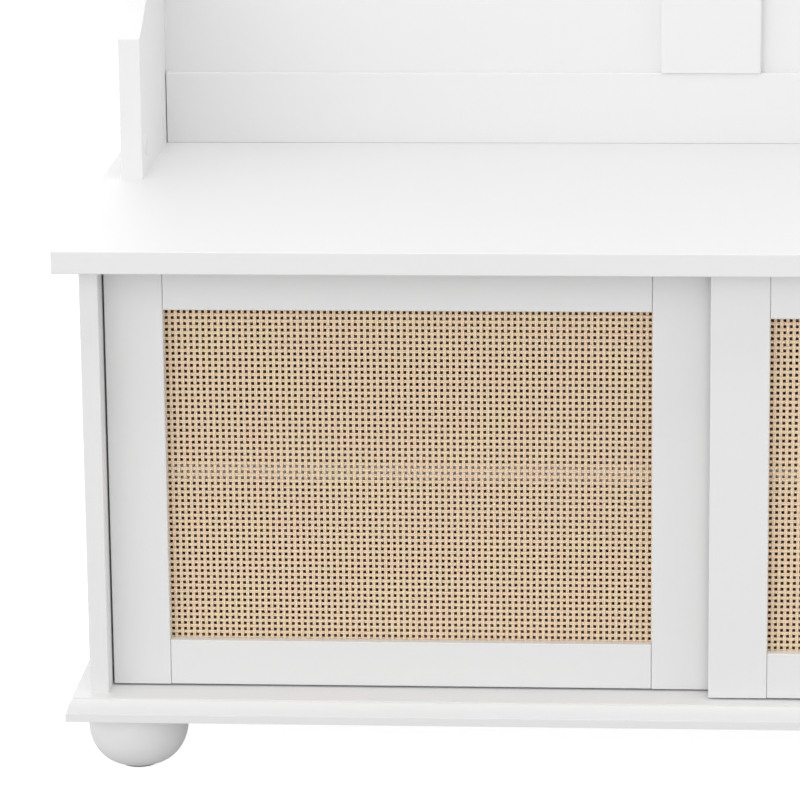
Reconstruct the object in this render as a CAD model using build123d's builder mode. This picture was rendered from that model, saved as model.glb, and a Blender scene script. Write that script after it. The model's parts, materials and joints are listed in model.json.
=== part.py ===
"""Hall tree: a bench cabinet with two sliding cane doors, on bun feet, under a tall hutch with coat hooks.

Frame: X to the right, Y to the wall, Z up; the origin is on the floor under the middle of the box.
All lengths are in millimetres.
"""

import os
from math import cos, radians, sin

from build123d import *

# ---- overall size ----
width = 1020.0
depth = 472.0
height = 1630.0
bench_height = 434.0
wall_y = depth / 2
bench_front = -depth / 2

# ---- boards ----
thick_board = 18.0          # bench top, hutch sides, apron, top shelf
thin_board = 15.0           # cabinet sides, divider, door frames
arris = 0.6                 # the eased edge of a painted board
round_over = 1.0            # the rounder edge of the bench top

# ---- base board and its routed edge ----
base_under = 50.0
base_top = 68.5
base_front = -230.0
fascia = 6.4                # upright strip at the bottom of the routed edge
ledge = 1.5                 # little shelf above the fascia
ovolo_run = 5.0             # how far the round part reaches in
quirk = 1.1                 # small step above the round part

# ---- cabinet ----
cabinet_half = 492.0
cabinet_front = -211.5
back_thickness = 5.0
cabinet_back = wall_y - back_thickness
bench_under = bench_height - thick_board
inner_half = cabinet_half - thin_board
divider_front = -166.0
shelf_front = -163.0
shelf_under = 233.5
shelf_board = 12.0
shelf_gap = 0.5

# ---- sliding doors ----
door_width = 476.5
door_low = 70.0
door_high = 414.0
stile_width = 46.0
joint_line = 0.3            # open joint between a stile and a rail, around the tenon
rail_height = 36.5
front_door_face = -210.5
rear_door_face = -189.5
left_door_x = -475.5
right_door_x = 0.0
lip = 8.0                   # front lip that the cane sheet lies against
rebate = 6.0                # how far the cane sheet reaches behind the frame
cane_thickness = 2.0
tenon_length = 12.0
tenon_thickness = 5.0
tenon_shoulder = 5.0
fit_gap = 0.1
hole_spare = 0.5            # how much deeper a blind hole is than what goes into it

# ---- door track and guides ----
track_height = 10.0
track_cavity = 17.0
track_slot = 7.0
track_wall = 1.6
track_lip = 2.0
track_end = 0.5
head_width, head_height, head_length = 14.0, 4.4, 32.0
glide_lift = 0.2            # clearance between a glide's head and the lips that it hangs on
neck_width = 5.4
glide_plate = 5.0           # depth of the glide's plate in the door's top edge
glide_inset = 90.0
guide_width, guide_length, guide_height = 4.4, 28.0, 6.0
groove_width, groove_depth = 5.6, 7.5
guide_peg_radius, guide_peg_depth = 2.5, 9.0
front_guide_x, rear_guide_x = 18.0, -17.0

# ---- feet ----
foot_x = 458.0
foot_y = 178.0
foot_radius = 40.0
foot_neck = 39.0
foot_equator = 33.0         # height of the widest ring
foot_flat = 16.0            # radius of the flat underneath
bowl_mid = (24.0, 2.9)      # a point on the foot's lower curve: radius and rise above the flat
bowl_tip = (32.0, 9.6)      # where the lower curve runs on into the upper one
shoulder_in = 0.2           # how far the foot's side has drawn in halfway up to the neck
pad_thickness, pad_radius = 2.0, 14.0
bolt_radius, bolt_low, bolt_high = 4.0, 24.0, 62.0
nut_radius, nut_depth = 6.0, 13.0

# ---- hutch ----
hutch_front = 51.0
hutch_top = height - thick_board
block_height = 118.5        # the square block at each end of a hutch side
sweep_radius = 190.0
sweep_start = 18.5          # degrees that the sweep has already turned where it leaves the block
hutch_inner = cabinet_half - thick_board
panel_front, panel_thickness = 225.0, 6.0
panel_groove = 6.0
bottom_rail_height, bottom_rail_thickness = 61.5, 6.0
rail_end_gap = 0.8          # open joint between the bottom rail and a hutch side
batten_width, batten_thickness = 86.0, 7.5
hook_rail_height, hook_rail_thickness = 160.0, 12.0
apron_height = 60.0
top_shelf_front = 33.0
wall_hole_radius = 2.5
wall_hole_x, wall_hole_z = 400.0, 1588.0

# ---- coat hooks ----
hook_xs = (-345.0, -115.0, 115.0, 345.0)
hook_height = 1492.0
hook_plate_width, hook_plate_height, hook_plate_thickness = 24.0, 84.0, 3.5
hook_screw_z = 33.0
hook_screw_radius, hook_screw_head = 2.0, 4.0
hook_screw_length = 16.0
upper_wire, lower_wire = 4.2, 3.8
upper_ball, lower_ball = 8.0, 7.0
upper_arm = ((0, 13), (30, 4), (64, 46))        # (out from the plate, up from the hook's middle)
lower_arm = ((0, -9), (20, -22), (37, -4))
upper_bend, lower_bend = 24.0, 10.0
arm_root = 1.0              # how far an arm starts inside its plate

# ---- panel fittings ----
cam_radius, cam_depth, cam_reach = 7.5, 12.4, 24.0
cam_bolt_radius, cam_bolt_tail_radius, cam_bolt_tail = 3.4, 2.4, 11.0
cover_radius, cover_thickness = 9.0, 0.6
dowel_radius, dowel_in_board, dowel_in_panel = 4.0, 10.0, 20.0
pin_radius, pin_depth, pin_head_radius, pin_head = 2.5, 6.5, 4.0, 8.0
pin_inset = 40.0
nail_radius, nail_length, nail_head_radius, nail_head = 1.0, 20.0, 2.5, 0.8
nail_rows, nail_margin = 5, 30.0

up, down = (0, 0, 1), (0, 0, -1)
to_wall, to_room = (0, 1, 0), (0, -1, 0)


def board(x_span, y_span, z_span, mode=Mode.ADD):
    """A square-edged board between the given limits."""
    spans = (x_span, y_span, z_span)
    middle = tuple((low + high) / 2 for low, high in spans)
    with Locations(middle):
        Box(*[high - low for low, high in spans], mode=mode)


def rod(point, along, radius, length, mode=Mode.ADD):
    """A round bar that starts at a point and runs along a direction."""
    with Locations(Plane(origin=point, z_dir=along)):
        Cylinder(radius, length, align=(Align.CENTER, Align.CENTER, Align.MIN), mode=mode)


def drill(point, mouth, radius, hole_depth):
    """A blind round hole whose mouth faces the given way."""
    with Locations(Plane(origin=point, z_dir=mouth)):
        Hole(radius, depth=hole_depth)


def keep(builder, label):
    """Label a finished piece and write its file."""
    builder.part.label = label
    export_step(builder.part, f"parts/{label}.step")


# ---- where the panel joints are: (panel's middle x, inward side, joint height, way into the panel, ys) ----
side_mid = cabinet_half - thin_board / 2
hutch_mid = cabinet_half - thick_board / 2
cabinet_cam_ys, divider_cam_ys, cabinet_dowel_y = (-150.0, 170.0), (-120.0, 170.0), -10.0
hutch_cam_ys, hutch_dowel_y = (80.0, 202.0), 140.0


def panel_joints(panel_x, inward, low, high, cam_ys, dowel_y, half_thickness):
    """The two edge joints of one upright panel."""
    return [
        {"x": panel_x, "inward": inward, "z": z, "into": into, "cams": cam_ys, "dowel": dowel_y,
         "half": half_thickness}
        for z, into in ((low, 1), (high, -1))
    ]


joints = {
    "left_side_panel": panel_joints(-side_mid, 1, base_top, bench_under,
                                    cabinet_cam_ys, cabinet_dowel_y, thin_board / 2),
    "right_side_panel": panel_joints(side_mid, -1, base_top, bench_under,
                                     cabinet_cam_ys, cabinet_dowel_y, thin_board / 2),
    "centre_divider": panel_joints(0.0, 1, base_top, bench_under,
                                   divider_cam_ys, cabinet_dowel_y, thin_board / 2),
    "hutch_left_side": panel_joints(-hutch_mid, 1, bench_height, hutch_top,
                                    hutch_cam_ys, hutch_dowel_y, thick_board / 2),
    "hutch_right_side": panel_joints(hutch_mid, -1, bench_height, hutch_top,
                                     hutch_cam_ys, hutch_dowel_y, thick_board / 2),
}
all_joints = [joint for pair in joints.values() for joint in pair]


def machine_panel(name):
    """Bore an upright panel for its cam bolts, cam locks and dowels."""
    for joint in joints[name]:
        mouth = (0, 0, -joint["into"])
        for y in joint["cams"]:
            drill((joint["x"], y, joint["z"]), mouth, cam_bolt_radius + fit_gap, cam_reach)
            pocket_z = joint["z"] + joint["into"] * cam_reach
            face_x = joint["x"] + joint["inward"] * joint["half"]
            drill((face_x, y, pocket_z), (joint["inward"], 0, 0), cam_radius, cam_depth)
        drill((joint["x"], joint["dowel"], joint["z"]), mouth, dowel_radius + fit_gap,
              dowel_in_panel + hole_spare)


def machine_board(joint_height, side):
    """Bore a level board for the cam bolts and dowels that meet it at one height."""
    for joint in all_joints:
        if joint["z"] != joint_height or joint["into"] != side:
            continue
        mouth = (0, 0, joint["into"])
        for y in joint["cams"]:
            drill((joint["x"], y, joint["z"]), mouth, cam_bolt_tail_radius + fit_gap, cam_bolt_tail)
        drill((joint["x"], joint["dowel"], joint["z"]), mouth, dowel_radius + fit_gap,
              dowel_in_board + hole_spare)


def moulded_edge(tip, inward, low, high, flipped):
    """Lines of the routed edge: fascia, ledge, quarter ellipse and quirk, from the outside in."""
    way = -1 if flipped else 1
    start = high if flipped else low
    ovolo_rise = (high - low) - fascia - quirk
    shelf_in = tip + inward * ledge
    shelf_z = start + way * fascia
    centre = (shelf_in + inward * ovolo_run, shelf_z)
    Polyline((tip, start), (tip, shelf_z), (shelf_in, shelf_z))
    EllipticalCenterArc(centre, ovolo_run, ovolo_rise, start_angle=180 if inward > 0 else 0,
                        arc_size=-90 * inward * way)
    crown = (centre[0], shelf_z + way * ovolo_rise)
    finish = (centre[0], start + way * (high - low))
    Line(crown, finish)
    return (tip, start), finish


def moulded_board(front, low, high, flipped=False):
    """A board with the routed edge along its front and both ends, mitred at the corners."""
    with BuildSketch(Plane.YZ) as end_view:
        with BuildLine():
            first, last = moulded_edge(front, 1, low, high, flipped)
            Polyline(last, (wall_y, last[1]), (wall_y, first[1]), first)
        make_face()
    extrude(end_view.sketch, amount=width / 2, both=True)
    with BuildSketch(Plane.XZ) as front_view:
        with BuildLine():
            left_first, left_last = moulded_edge(-width / 2, 1, low, high, flipped)
            right_first, right_last = moulded_edge(width / 2, -1, low, high, flipped)
            Line(left_last, right_last)
            Line(right_first, left_first)
        make_face()
    extrude(front_view.sketch, amount=depth, both=True, mode=Mode.INTERSECT)


# ================= cabinet =================

def build_base_board():
    with BuildPart() as base_board:
        moulded_board(base_front, base_under, base_top)
        machine_board(base_top, 1)
        for x in (-foot_x, foot_x):
            for y in (-foot_y, foot_y):
                drill((x, y, base_under), down, nut_radius + fit_gap, nut_depth)
        for x, face in ((front_guide_x, front_door_face), (rear_guide_x, rear_door_face)):
            drill((x, face + thin_board / 2, base_top), up, guide_peg_radius + fit_gap, guide_peg_depth)
    keep(base_board, "base_board")


def build_bench_top():
    track_half = track_cavity / 2 + track_wall
    with BuildPart() as bench_top:
        board((-width / 2, width / 2), (bench_front, wall_y), (bench_under, bench_height))
        front_and_ends = bench_top.edges().filter_by(Axis.Y, reverse=True).sort_by(Axis.Y)
        fillet(front_and_ends[:4] + bench_top.edges().filter_by(Axis.Y), round_over)
        board((-inner_half, inner_half),
              (front_centre() - track_half - fit_gap, rear_centre() + track_half + fit_gap),
              (bench_under, bench_under + track_height), mode=Mode.SUBTRACT)
        machine_board(bench_under, -1)
        machine_board(bench_height, 1)
    keep(bench_top, "bench_top")


def front_centre():
    return front_door_face + thin_board / 2


def rear_centre():
    return rear_door_face + thin_board / 2


def shelf_pin_points(face_x, ways):
    """Where the shelf pins enter an upright panel: point on its face and the way out of it."""
    ys = (shelf_front + pin_inset, cabinet_back - pin_inset)
    z = shelf_under - pin_head_radius
    return [((x, y, z), (way, 0, 0)) for x, way in zip(face_x, ways) for y in ys]


nail_pitch = (bench_under - base_top - 2 * nail_margin) / (nail_rows - 1)
nail_zs = [base_top + nail_margin + row * nail_pitch for row in range(nail_rows)]


def nail_holes(x):
    for z in nail_zs:
        drill((x, cabinet_back, z), to_wall, nail_radius + fit_gap, nail_length - back_thickness + hole_spare)


def build_side_panels():
    for name, side in (("left_side_panel", -1), ("right_side_panel", 1)):
        xs = sorted((side * cabinet_half, side * inner_half))
        with BuildPart() as side_panel:
            board(xs, (cabinet_front, cabinet_back), (base_top, bench_under))
            chamfer(side_panel.edges().filter_by(Axis.Z).group_by(Axis.Y)[0], arris)
            machine_panel(name)
            for point, mouth in shelf_pin_points([side * inner_half], [-side]):
                drill(point, mouth, pin_radius + fit_gap, pin_depth + hole_spare)
            nail_holes(side * side_mid)
        keep(side_panel, name)


def build_divider():
    half = thin_board / 2
    with BuildPart() as centre_divider:
        board((-half, half), (divider_front, cabinet_back), (base_top, bench_under))
        chamfer(centre_divider.edges().filter_by(Axis.Z).group_by(Axis.Y)[0], arris)
        machine_panel("centre_divider")
        for point, mouth in shelf_pin_points([-half, half], [-1, 1]):
            drill(point, mouth, pin_radius + fit_gap, pin_depth + hole_spare)
        nail_holes(0.0)
    keep(centre_divider, "centre_divider")


def build_shelves():
    near, far = thin_board / 2 + shelf_gap, inner_half - shelf_gap
    for name, xs in (("left_shelf", (-far, -near)), ("right_shelf", (near, far))):
        with BuildPart() as shelf:
            board(xs, (shelf_front, cabinet_back - shelf_gap), (shelf_under, shelf_under + shelf_board))
            chamfer(shelf.edges().filter_by(Axis.X).group_by(Axis.Y)[0], arris)
        keep(shelf, name)


def build_cabinet_back():
    with BuildPart() as cabinet_back_panel:
        board((-cabinet_half, cabinet_half), (cabinet_back, wall_y), (base_top, bench_under))
        for x in (-side_mid, 0.0, side_mid):
            for z in nail_zs:
                with Locations(Plane(origin=(x, wall_y, z), z_dir=to_wall)):
                    CounterBoreHole(nail_radius + fit_gap, nail_head_radius + fit_gap, nail_head,
                                    depth=back_thickness)
    keep(cabinet_back_panel, "cabinet_back_panel")


# ================= feet =================

def build_feet():
    corners = {
        "front_left_foot": (-foot_x, -foot_y), "front_right_foot": (foot_x, -foot_y),
        "rear_left_foot": (-foot_x, foot_y), "rear_right_foot": (foot_x, foot_y),
    }
    for name, (x, y) in corners.items():
        with BuildPart() as bun_foot:
            with BuildSketch(Plane.XZ):
                with BuildLine():
                    Line((0, pad_thickness), (foot_flat, pad_thickness))
                    mid, tip = [(radius, pad_thickness + rise) for radius, rise in (bowl_mid, bowl_tip)]
                    lower = ThreePointArc((foot_flat, pad_thickness), mid, tip)
                    upper = TangentArc(tip, (foot_radius, foot_equator), tangent=lower % 1)
                    ThreePointArc(upper @ 1, (foot_radius - shoulder_in, (foot_equator + base_under) / 2),
                                  (foot_neck, base_under))
                    Polyline((foot_neck, base_under), (0, base_under), (0, pad_thickness))
                make_face()
            revolve(axis=Axis.Z)
            drill((0, 0, base_under), up, bolt_radius + fit_gap, base_under - bolt_low + hole_spare)
        placed = bun_foot.part.moved(Location((x, y, 0)))
        placed.label = name
        export_step(placed, f"parts/{name}.step")


def corner_rods(radius, low, length, core=0.0):
    """The same short bar, or tube, at each of the four feet."""
    for x in (-foot_x, foot_x):
        for y in (-foot_y, foot_y):
            rod((x, y, low), up, radius, length)
            if core:
                rod((x, y, low), up, core, length, mode=Mode.SUBTRACT)


def build_foot_fittings():
    with BuildPart() as foot_bolts:
        corner_rods(bolt_radius, bolt_low, bolt_high - bolt_low)
    keep(foot_bolts, "foot_bolts")
    with BuildPart() as foot_nuts:
        corner_rods(nut_radius, base_under, nut_depth, core=bolt_radius + fit_gap)
    keep(foot_nuts, "foot_nuts")
    with BuildPart() as foot_pads:
        corner_rods(pad_radius, 0.0, pad_thickness)
    keep(foot_pads, "foot_pads")


# ================= sliding doors =================

def build_door(side, left, face):
    """One door: two full-height stiles, two rails, a cane sheet, its beads and its glides."""
    right = left + door_width
    back = face + thin_board
    middle = face + thin_board / 2
    opening_x = (left + stile_width, right - stile_width)
    opening_z = (door_low + rail_height, door_high - rail_height)
    tenon_y = (middle - tenon_thickness / 2, middle + tenon_thickness / 2)

    stiles = {"left_stile": (left, left + stile_width, 1), "right_stile": (right - stile_width, right, -1)}
    for name, (low_x, high_x, inward) in stiles.items():
        seam_x = high_x if inward > 0 else low_x
        with BuildPart() as stile:
            board((low_x, high_x), (face, back), (door_low, door_high))
            chamfer(stile.edges().filter_by(Axis.Z).group_by(Axis.Y)[0], arris)
            cut_rebate(seam_x - inward * rebate, seam_x, back, opening_z[0] - rebate, opening_z[1] + rebate)
            cut_bottom_groove((low_x, high_x), middle)
            for z_span in (tenon_span(door_low), tenon_span(door_high - rail_height)):
                slot_x = sorted((seam_x, seam_x - inward * (tenon_length + fit_gap)))
                board(slot_x, (tenon_y[0] - fit_gap, tenon_y[1] + fit_gap),
                      (z_span[0] - fit_gap, z_span[1] + fit_gap), mode=Mode.SUBTRACT)
        keep(stile, f"{side}_door_{name}")

    rails = {"bottom_rail": (door_low, opening_z[0]), "top_rail": (opening_z[1], door_high)}
    for name, z_span in rails.items():
        with BuildPart() as rail:
            board((opening_x[0] + joint_line, opening_x[1] - joint_line), (face, back), z_span)
            chamfer(rail.faces().filter_by(Axis.Y).sort_by(Axis.Y)[0].edges(), arris)
            board((opening_x[0] - tenon_length, opening_x[1] + tenon_length), tenon_y, tenon_span(z_span[0]))
            inner_z = z_span[1] if name == "bottom_rail" else z_span[0]
            step = -rebate if name == "bottom_rail" else rebate
            cut_rebate(*opening_x, back, *sorted((inner_z, inner_z + step)))
            if name == "bottom_rail":
                cut_bottom_groove((opening_x[0] - tenon_length, opening_x[1] + tenon_length), middle)
            else:
                for x in glide_xs(left):
                    board((x - head_length / 2 - fit_gap, x + head_length / 2 + fit_gap),
                          (middle - neck_width / 2 - fit_gap, middle + neck_width / 2 + fit_gap),
                          (door_high - glide_plate, door_high), mode=Mode.SUBTRACT)
        keep(rail, f"{side}_door_{name}")

    sheet_x = (opening_x[0] - rebate + fit_gap, opening_x[1] + rebate - fit_gap)
    sheet_z = (opening_z[0] - rebate + fit_gap, opening_z[1] + rebate - fit_gap)
    with BuildPart() as cane_sheet:
        board(sheet_x, (face + lip, face + lip + cane_thickness), sheet_z)
    keep(cane_sheet, f"{side}_door_cane_sheet")

    bead_y = (face + lip + cane_thickness, back)
    with BuildPart() as beads:
        for low_z in (sheet_z[0], sheet_z[1] - rebate):
            board(sheet_x, bead_y, (low_z, low_z + rebate))
        for low_x in (sheet_x[0], sheet_x[1] - rebate):
            board((low_x, low_x + rebate), bead_y,
                  (sheet_z[0] + rebate + fit_gap, sheet_z[1] - rebate - fit_gap))
    keep(beads, f"{side}_door_beads")

    with BuildPart() as glides:
        for x in glide_xs(left):
            head_low = bench_under + track_lip + glide_lift
            board((x - head_length / 2, x + head_length / 2),
                  (middle - neck_width / 2, middle + neck_width / 2), (door_high - glide_plate, head_low))
            board((x - head_length / 2, x + head_length / 2),
                  (middle - head_width / 2, middle + head_width / 2), (head_low, head_low + head_height))
    keep(glides, f"{side}_door_glides")


def tenon_span(rail_low):
    return rail_low + tenon_shoulder + groove_depth, rail_low + rail_height - tenon_shoulder - rebate


def glide_xs(left):
    return left + glide_inset, left + door_width - glide_inset


def cut_rebate(x_from, x_to, back, z_from, z_to):
    """Cut the step behind the opening that the cane sheet and its beads lie in."""
    board(sorted((x_from, x_to)), (back - (thin_board - lip), back), (z_from, z_to), mode=Mode.SUBTRACT)


def cut_bottom_groove(x_span, middle):
    """Cut the groove under the door that runs over the floor guide."""
    board(x_span, (middle - groove_width / 2, middle + groove_width / 2),
          (door_low, door_low + groove_depth), mode=Mode.SUBTRACT)


def build_track():
    """Twin channel let into the underside of the bench top; the door glides hang on its lips."""
    half = track_cavity / 2 + track_wall
    ends = (-inner_half + track_end, inner_half - track_end)
    with BuildPart() as top_door_track:
        board(ends, (front_centre() - half, rear_centre() + half), (bench_under, bench_under + track_height))
        for centre in (front_centre(), rear_centre()):
            board(ends, (centre - track_cavity / 2, centre + track_cavity / 2),
                  (bench_under + track_lip, bench_under + track_height - track_wall), mode=Mode.SUBTRACT)
            board(ends, (centre - track_slot / 2, centre + track_slot / 2),
                  (bench_under, bench_under + track_lip), mode=Mode.SUBTRACT)
    keep(top_door_track, "top_door_track")


def build_floor_guides():
    with BuildPart() as door_floor_guides:
        for x, y in ((front_guide_x, front_centre()), (rear_guide_x, rear_centre())):
            board((x - guide_length / 2, x + guide_length / 2), (y - guide_width / 2, y + guide_width / 2),
                  (base_top, base_top + guide_height))
            rod((x, y, base_top), down, guide_peg_radius, guide_peg_depth - hole_spare)
    keep(door_floor_guides, "door_floor_guides")


# ================= hutch =================

def side_outline():
    """Lines of a hutch side in Y and Z: square blocks joined by a hollow sweep."""
    turned = radians(sweep_start)
    block_low = bench_height + block_height
    centre_y = hutch_front - sweep_radius * sin(turned)
    centre_z = block_low + sweep_radius * cos(turned)
    waist_y = centre_y + sweep_radius
    mirrored_z = bench_height + hutch_top - centre_z
    Polyline((wall_y, bench_height), (hutch_front, bench_height), (hutch_front, block_low))
    CenterArc((centre_y, centre_z), sweep_radius, sweep_start - 90, 90 - sweep_start)
    Line((waist_y, centre_z), (waist_y, mirrored_z))
    CenterArc((centre_y, mirrored_z), sweep_radius, 0, 90 - sweep_start)
    Polyline((hutch_front, hutch_top - block_height), (hutch_front, hutch_top),
             (wall_y, hutch_top), (wall_y, bench_height))


def build_hutch_sides():
    for name, side in (("hutch_left_side", -1), ("hutch_right_side", 1)):
        low_x = min(side * cabinet_half, side * hutch_inner)
        with BuildPart() as hutch_side:
            with BuildSketch(Plane.YZ.offset(low_x)):
                with BuildLine():
                    side_outline()
                make_face()
            extrude(amount=thick_board)
            chamfer(hutch_side.edges().filter_by(Axis.Z).group_by(Axis.Y)[0], arris)
            groove_x = sorted((side * hutch_inner, side * (hutch_inner + panel_groove + hole_spare)))
            board(groove_x, (panel_front - fit_gap, panel_front + panel_thickness + fit_gap),
                  (bench_height, hutch_top), mode=Mode.SUBTRACT)
            machine_panel(name)
        keep(hutch_side, name)


def wall_holes(y_mouth, hole_depth):
    for x in (-wall_hole_x, wall_hole_x):
        drill((x, y_mouth, wall_hole_z), to_room, wall_hole_radius, hole_depth)


def build_hutch_back():
    reach = hutch_inner + panel_groove
    screw_in_panel = hook_screw_length - hook_plate_thickness - hook_rail_thickness
    with BuildPart() as hutch_back_panel:
        board((-reach, reach), (panel_front, panel_front + panel_thickness), (bench_height, hutch_top))
        wall_holes(panel_front, panel_thickness)
        hook_screw_holes(panel_front, screw_in_panel + hole_spare)
    keep(hutch_back_panel, "hutch_back_panel")

    rail_top = bench_height + bottom_rail_height
    with BuildPart() as hutch_bottom_rail:
        board((rail_end_gap - hutch_inner, hutch_inner - rail_end_gap),
              (panel_front - bottom_rail_thickness, panel_front), (bench_height, rail_top))
        chamfer(hutch_bottom_rail.edges().filter_by(Axis.X).group_by(Axis.Y)[0], arris)
    keep(hutch_bottom_rail, "hutch_bottom_rail")

    hook_rail_low = hutch_top - hook_rail_height
    with BuildPart() as hutch_centre_batten:
        board((-batten_width / 2, batten_width / 2), (panel_front - batten_thickness, panel_front),
              (rail_top, hook_rail_low))
        fillet(hutch_centre_batten.edges().filter_by(Axis.Z).group_by(Axis.Y)[0], 2 * round_over)
        chamfer(hutch_centre_batten.edges().filter_by(Axis.X).group_by(Axis.Y)[0], arris)
    keep(hutch_centre_batten, "hutch_centre_batten")

    with BuildPart() as hook_rail:
        board((-hutch_inner, hutch_inner), (panel_front - hook_rail_thickness, panel_front),
              (hook_rail_low, hutch_top))
        chamfer(hook_rail.edges().filter_by(Axis.X).group_by(Axis.Y)[0], arris)
        wall_holes(panel_front - hook_rail_thickness, hook_rail_thickness)
        hook_screw_holes(panel_front - hook_rail_thickness, hook_rail_thickness)
    keep(hook_rail, "hook_rail")


def build_top():
    with BuildPart() as shelf_apron:
        board((-hutch_inner, hutch_inner), (hutch_front, hutch_front + thick_board),
              (hutch_top - apron_height, hutch_top))
        chamfer(shelf_apron.edges().filter_by(Axis.X).group_by(Axis.Z)[0], arris)
    keep(shelf_apron, "shelf_apron")
    with BuildPart() as top_shelf:
        moulded_board(top_shelf_front, hutch_top, height, flipped=True)
        machine_board(hutch_top, -1)
    keep(top_shelf, "top_shelf")


# ================= coat hooks =================

def hook_screw_points():
    return [(x, hook_height + way * hook_screw_z) for x in hook_xs for way in (-1, 1)]


def hook_screw_holes(y_mouth, hole_depth):
    for x, z in hook_screw_points():
        drill((x, y_mouth, z), to_room, hook_screw_radius + fit_gap, hole_depth)


def hook_arm(x, root_y, points, bend, wire, ball):
    """One curved arm of a hook, from the plate out to its ball."""
    path_points = [(x, root_y - out, hook_height + rise) for out, rise in points]
    with BuildLine() as arm_line:
        FilletPolyline(*path_points, radius=bend)
    with BuildSketch(Plane(origin=arm_line.line @ 0, z_dir=arm_line.line % 0)) as wire_section:
        Circle(wire)
    sweep(sections=wire_section.sketch, path=arm_line.line)
    with Locations(path_points[-1]):
        Sphere(ball)


def build_hooks():
    rail_face = panel_front - hook_rail_thickness
    plate_face = rail_face - hook_plate_thickness
    for number, x in enumerate(hook_xs, start=1):
        with BuildPart() as coat_hook:
            with BuildSketch(Plane.XZ.offset(-rail_face)) as plate_outline:
                with Locations((x, hook_height)):
                    SlotOverall(hook_plate_height, hook_plate_width, rotation=90)
            extrude(plate_outline.sketch, amount=hook_plate_thickness)
            fillet(coat_hook.faces().sort_by(Axis.Y)[0].edges(), round_over)
            hook_arm(x, plate_face + arm_root, upper_arm, upper_bend, upper_wire, upper_ball)
            hook_arm(x, plate_face + arm_root, lower_arm, lower_bend, lower_wire, lower_ball)
            for way in (-1, 1):
                screw_at = (x, plate_face, hook_height + way * hook_screw_z)
                with Locations(Plane(origin=screw_at, z_dir=to_room)):
                    CounterSinkHole(hook_screw_radius + fit_gap, hook_screw_head + fit_gap,
                                    depth=hook_plate_thickness, counter_sink_angle=90)
        keep(coat_hook, f"coat_hook_{number}")

    with BuildPart() as hook_screws:
        for x, z in hook_screw_points():
            rod((x, plate_face, z), to_wall, hook_screw_radius, hook_screw_length)
            cone_depth = hook_screw_head - hook_screw_radius
            with Locations(Plane(origin=(x, plate_face, z), z_dir=to_wall)):
                Cone(hook_screw_head, hook_screw_radius, cone_depth,
                     align=(Align.CENTER, Align.CENTER, Align.MIN))
    keep(hook_screws, "hook_screws")


# ================= fittings =================

def build_panel_fittings():
    with BuildPart() as cam_bolts:
        for joint in all_joints:
            into, out = (0, 0, joint["into"]), (0, 0, -joint["into"])
            for y in joint["cams"]:
                foot = (joint["x"], y, joint["z"])
                rod(foot, into, cam_bolt_radius, cam_reach - hole_spare)
                rod(foot, out, cam_bolt_tail_radius, cam_bolt_tail - hole_spare)
    keep(cam_bolts, "cam_bolts")

    with BuildPart() as cam_locks:
        for joint in all_joints:
            face_x = joint["x"] + joint["inward"] * joint["half"]
            pocket_z = joint["z"] + joint["into"] * cam_reach
            for y in joint["cams"]:
                rod((face_x, y, pocket_z), (-joint["inward"], 0, 0), cam_radius - fit_gap,
                    cam_depth - hole_spare)
        for joint in all_joints:
            for y in joint["cams"]:
                rod((joint["x"], y, joint["z"]), (0, 0, joint["into"]), cam_bolt_radius + 2 * fit_gap,
                    cam_reach, mode=Mode.SUBTRACT)
    keep(cam_locks, "cam_locks")

    with BuildPart() as cam_covers:
        for joint in joints["hutch_left_side"] + joints["hutch_right_side"]:
            face_x = joint["x"] + joint["inward"] * joint["half"]
            for y in joint["cams"]:
                rod((face_x, y, joint["z"] + joint["into"] * cam_reach), (joint["inward"], 0, 0),
                    cover_radius, cover_thickness)
        rims = cam_covers.edges().filter_by(GeomType.CIRCLE)
        chamfer([rim for rim in rims if abs(rim.center().X) < hutch_inner - cover_thickness / 2],
                cover_thickness / 2)
    keep(cam_covers, "cam_covers")

    with BuildPart() as dowels:
        for joint in all_joints:
            low = joint["z"] - joint["into"] * dowel_in_board
            rod((joint["x"], joint["dowel"], low), (0, 0, joint["into"]), dowel_radius,
                dowel_in_board + dowel_in_panel)
    keep(dowels, "dowels")

    with BuildPart() as shelf_pins:
        half = thin_board / 2
        for point, mouth in shelf_pin_points([-inner_half, -half, half, inner_half], [1, -1, 1, -1]):
            rod(point, (-mouth[0], 0, 0), pin_radius, pin_depth)
            rod(point, mouth, pin_head_radius, pin_head)
    keep(shelf_pins, "shelf_pins")

    with BuildPart() as back_panel_nails:
        for x in (-side_mid, 0.0, side_mid):
            for z in nail_zs:
                rod((x, wall_y, z), to_room, nail_radius, nail_length)
                rod((x, wall_y, z), to_room, nail_head_radius, nail_head)
    keep(back_panel_nails, "back_panel_nails")


os.makedirs("parts", exist_ok=True)
build_base_board()
build_bench_top()
build_side_panels()
build_divider()
build_shelves()
build_cabinet_back()
build_feet()
build_foot_fittings()
build_door("left", left_door_x, rear_door_face)
build_door("right", right_door_x, front_door_face)
build_track()
build_floor_guides()
build_hutch_sides()
build_hutch_back()
build_top()
build_hooks()
build_panel_fittings()
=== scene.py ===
import json
from math import pi

import bpy
from mathutils import Matrix, Vector


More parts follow.
